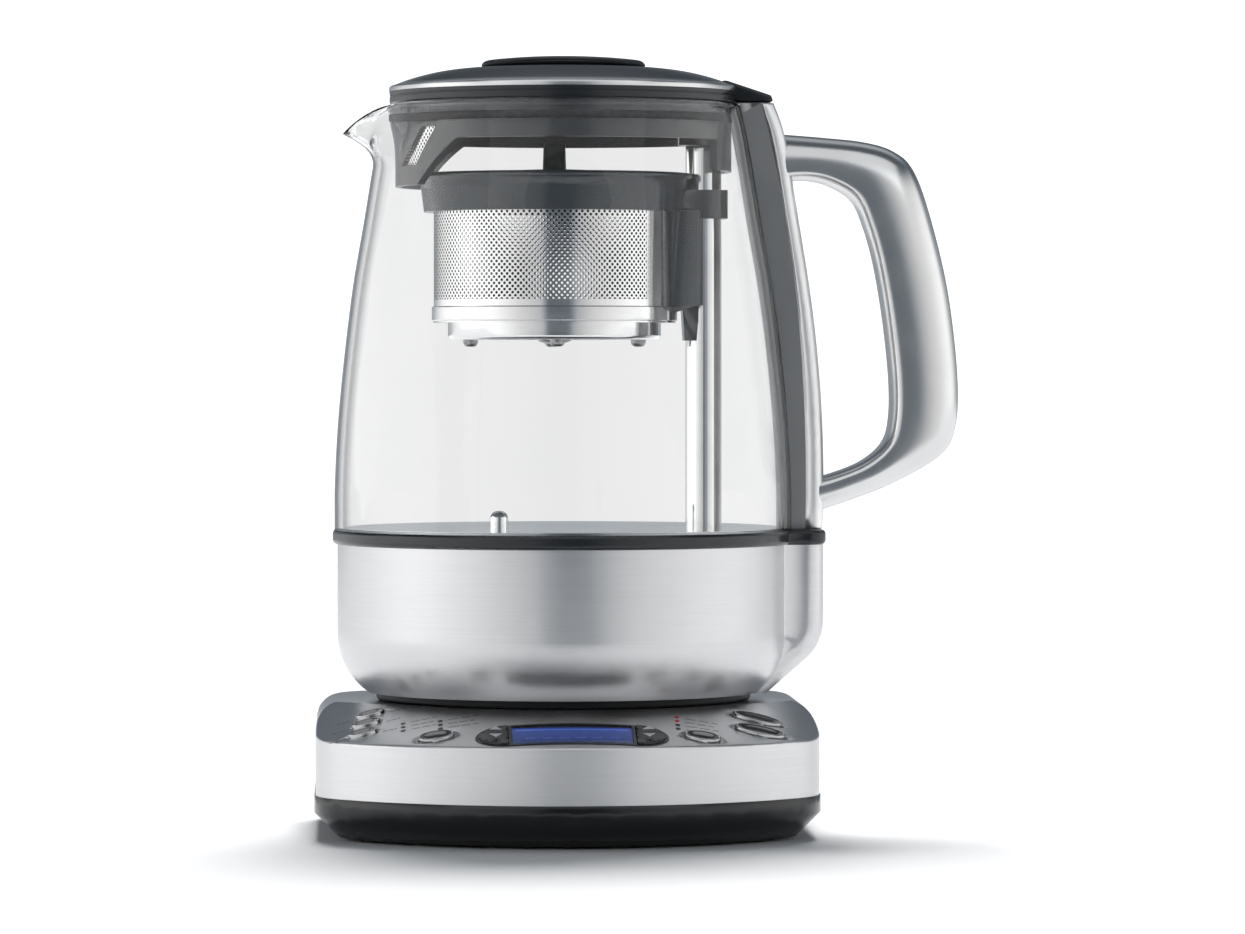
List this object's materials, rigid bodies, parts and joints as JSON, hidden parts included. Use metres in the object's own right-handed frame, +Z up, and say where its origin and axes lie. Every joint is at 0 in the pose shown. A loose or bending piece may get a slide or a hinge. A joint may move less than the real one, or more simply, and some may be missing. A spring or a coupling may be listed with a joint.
{
  "type": "automatic tea maker",
  "caption": "Free-standing tea maker: a cordless glass jug with a chrome handle and a powered lifting tea basket, on a low steel base with a sloping panel of oval buttons.",
  "frame": {"origin": "on the table, under the middle of the whole object's bounding box", "axes": "+Z up, +X towards the handle, -X towards the spout, -Y towards the control panel"},
  "size_m": [0.2148, 0.1748, 0.2575],
  "materials": {
    "brushed_steel": "fine horizontal brushing",
    "polished_steel": "bright polish with soft reflections",
    "clear_glass": "clear borosilicate glass",
    "black_plastic": "semi-gloss black",
    "grey_plastic": "dark grey, semi-gloss",
    "smoke_plastic": "translucent smoke grey",
    "rubber": "matt black",
    "silicone": "translucent silicone",
    "circuit_board": "solder mask",
    "display_blue": "lit blue display",
    "clear_window": "clear plastic",
    "brass": "turned",
    "steel_mesh": "perforated sheet",
    "light_pipe": "unlit indicator"
  },
  "bodies": {
    "base": {"base_shell": "brushed_steel", "base_tray": "black_plastic", "base_feet": "rubber", "base_screws": "polished_steel", "cord_inlet": "rubber", "power_connector": "black_plastic", "connector_contacts": "brass", "control_board": "circuit_board", "key_switches": "black_plastic", "power_board": "circuit_board", "display_bezel": "black_plastic", "display_window": "clear_window", "display_module": "display_blue", "indicator_lights": "light_pipe"},
    "socket": {"jug_socket": "black_plastic"},
    "jug": {"jug_foot": "black_plastic", "foot_screws": "polished_steel", "jug_chassis": "grey_plastic", "gear_motor": "polished_steel", "heating_element": "polished_steel", "shaft_bush": "silicone", "jug_casing": "brushed_steel", "jug_collar": "black_plastic", "glass_gasket": "silicone", "glass_jug": "clear_glass", "floor_plate": "brushed_steel", "temperature_probe": "polished_steel", "post_tube": "polished_steel", "post_cap": "grey_plastic", "spine_backing": "black_plastic", "spine_strip": "polished_steel", "handle": "polished_steel"},
    "screw": {"lead_screw": "polished_steel"},
    "carriage": {"magnet_carriage": "grey_plastic"},
    "basket": {"basket_carrier": "grey_plastic", "basket_magnets": "polished_steel", "basket_wall": "steel_mesh", "basket_base": "polished_steel", "basket_floor": "steel_mesh"},
    "basket_cover": {"basket_lid": "grey_plastic", "basket_lid_knob": "black_plastic"},
    "lid": {"lid_plate": "polished_steel", "lid_knob": "black_plastic", "lid_body": "black_plastic", "lid_skirt": "smoke_plastic", "spout_filter": "steel_mesh", "lid_seal": "silicone"},
    "hot_water_button": {"hot_water_button": "polished_steel"},
    "clock_button": {"clock_button": "polished_steel"},
    "auto_start_button": {"auto_start_button": "polished_steel"},
    "tea_type_button": {"tea_type_button": "polished_steel"},
    "strength_button": {"strength_button": "polished_steel"},
    "keep_warm_button": {"keep_warm_button": "polished_steel"},
    "start_button": {"start_button": "polished_steel"},
    "left_rocker": {"left_rocker_key": "grey_plastic"},
    "right_rocker": {"right_rocker_key": "grey_plastic"}
  },
  "joints": [
    {"name": "jug_lift", "type": "slide", "parent": "base", "child": "socket", "axis": [0, 0, 1], "range_m": [0, 0.1]},
    {"name": "jug_turn", "type": "hinge", "parent": "socket", "child": "jug", "pos_m": [-0.02462, 0.0066, 0.0433], "axis": [0, 0, 1], "continuous": true},
    {"name": "lid_lift", "type": "slide", "parent": "jug", "child": "lid", "axis": [0, 0, 1], "range_m": [0, 0.05]},
    {"name": "basket_ride", "type": "slide", "parent": "jug", "child": "basket", "axis": [0, 0, 1], "range_m": [-0.055, 0]},
    {"name": "carriage_ride", "type": "slide", "parent": "jug", "child": "carriage", "axis": [0, 0, 1], "range_m": [-0.055, 0]},
    {"name": "screw_turn", "type": "hinge", "parent": "jug", "child": "screw", "pos_m": [0.02218, 0.0066, 0.15], "axis": [0, 0, 1], "range_deg": [-992, 0]},
    {"name": "basket_lid_lift", "type": "slide", "parent": "basket", "child": "basket_cover", "axis": [0, 0, 1], "range_m": [0, 0.01]},
    {"name": "press_hot_water", "type": "slide", "parent": "base", "child": "hot_water_button", "axis": [0.2342, 0.1965, -0.9521], "range_m": [0, 0.0008], "stiffness_N_per_m": 700, "springref_m": -0.0006},
    {"name": "press_clock", "type": "slide", "parent": "base", "child": "clock_button", "axis": [0.2342, 0.1965, -0.9521], "range_m": [0, 0.0008], "stiffness_N_per_m": 700, "springref_m": -0.0006},
    {"name": "press_auto_start", "type": "slide", "parent": "base", "child": "auto_start_button", "axis": [0.2234, 0.2087, -0.9521], "range_m": [0, 0.0008], "stiffness_N_per_m": 700, "springref_m": -0.0006},
    {"name": "press_tea_type", "type": "slide", "parent": "base", "child": "tea_type_button", "axis": [0.1446, 0.2693, -0.9521], "range_m": [0, 0.0008], "stiffness_N_per_m": 700, "springref_m": -0.0006},
    {"name": "press_strength", "type": "slide", "parent": "base", "child": "strength_button", "axis": [-0.1386, 0.2725, -0.9521], "range_m": [0, 0.0008], "stiffness_N_per_m": 700, "springref_m": -0.0006},
    {"name": "press_keep_warm", "type": "slide", "parent": "base", "child": "keep_warm_button", "axis": [-0.2336, 0.1972, -0.9521], "range_m": [0, 0.0008], "stiffness_N_per_m": 700, "springref_m": -0.0006},
    {"name": "press_start", "type": "slide", "parent": "base", "child": "start_button", "axis": [-0.2082, 0.2238, -0.9521], "range_m": [0, 0.0008], "stiffness_N_per_m": 700, "springref_m": -0.0006},
    {"name": "tilt_left_rocker", "type": "hinge", "parent": "base", "child": "left_rocker", "pos_m": [-0.04962, -0.0742, 0.03438], "axis": [1, 0, 0], "range_deg": [-2.5, 2.5], "stiffness_Nm_per_rad": 0.2},
    {"name": "tilt_right_rocker", "type": "hinge", "parent": "base", "child": "right_rocker", "pos_m": [0.00038, -0.0742, 0.03438], "axis": [1, 0, 0], "range_deg": [-2.5, 2.5], "stiffness_Nm_per_rad": 0.2}
  ],
  "couplings": [
    {"joint": "carriage_ride", "follows": "basket_ride", "ratio": 1},
    {"joint": "screw_turn", "follows": "basket_ride", "rad_per_m": 314.16}
  ]
}
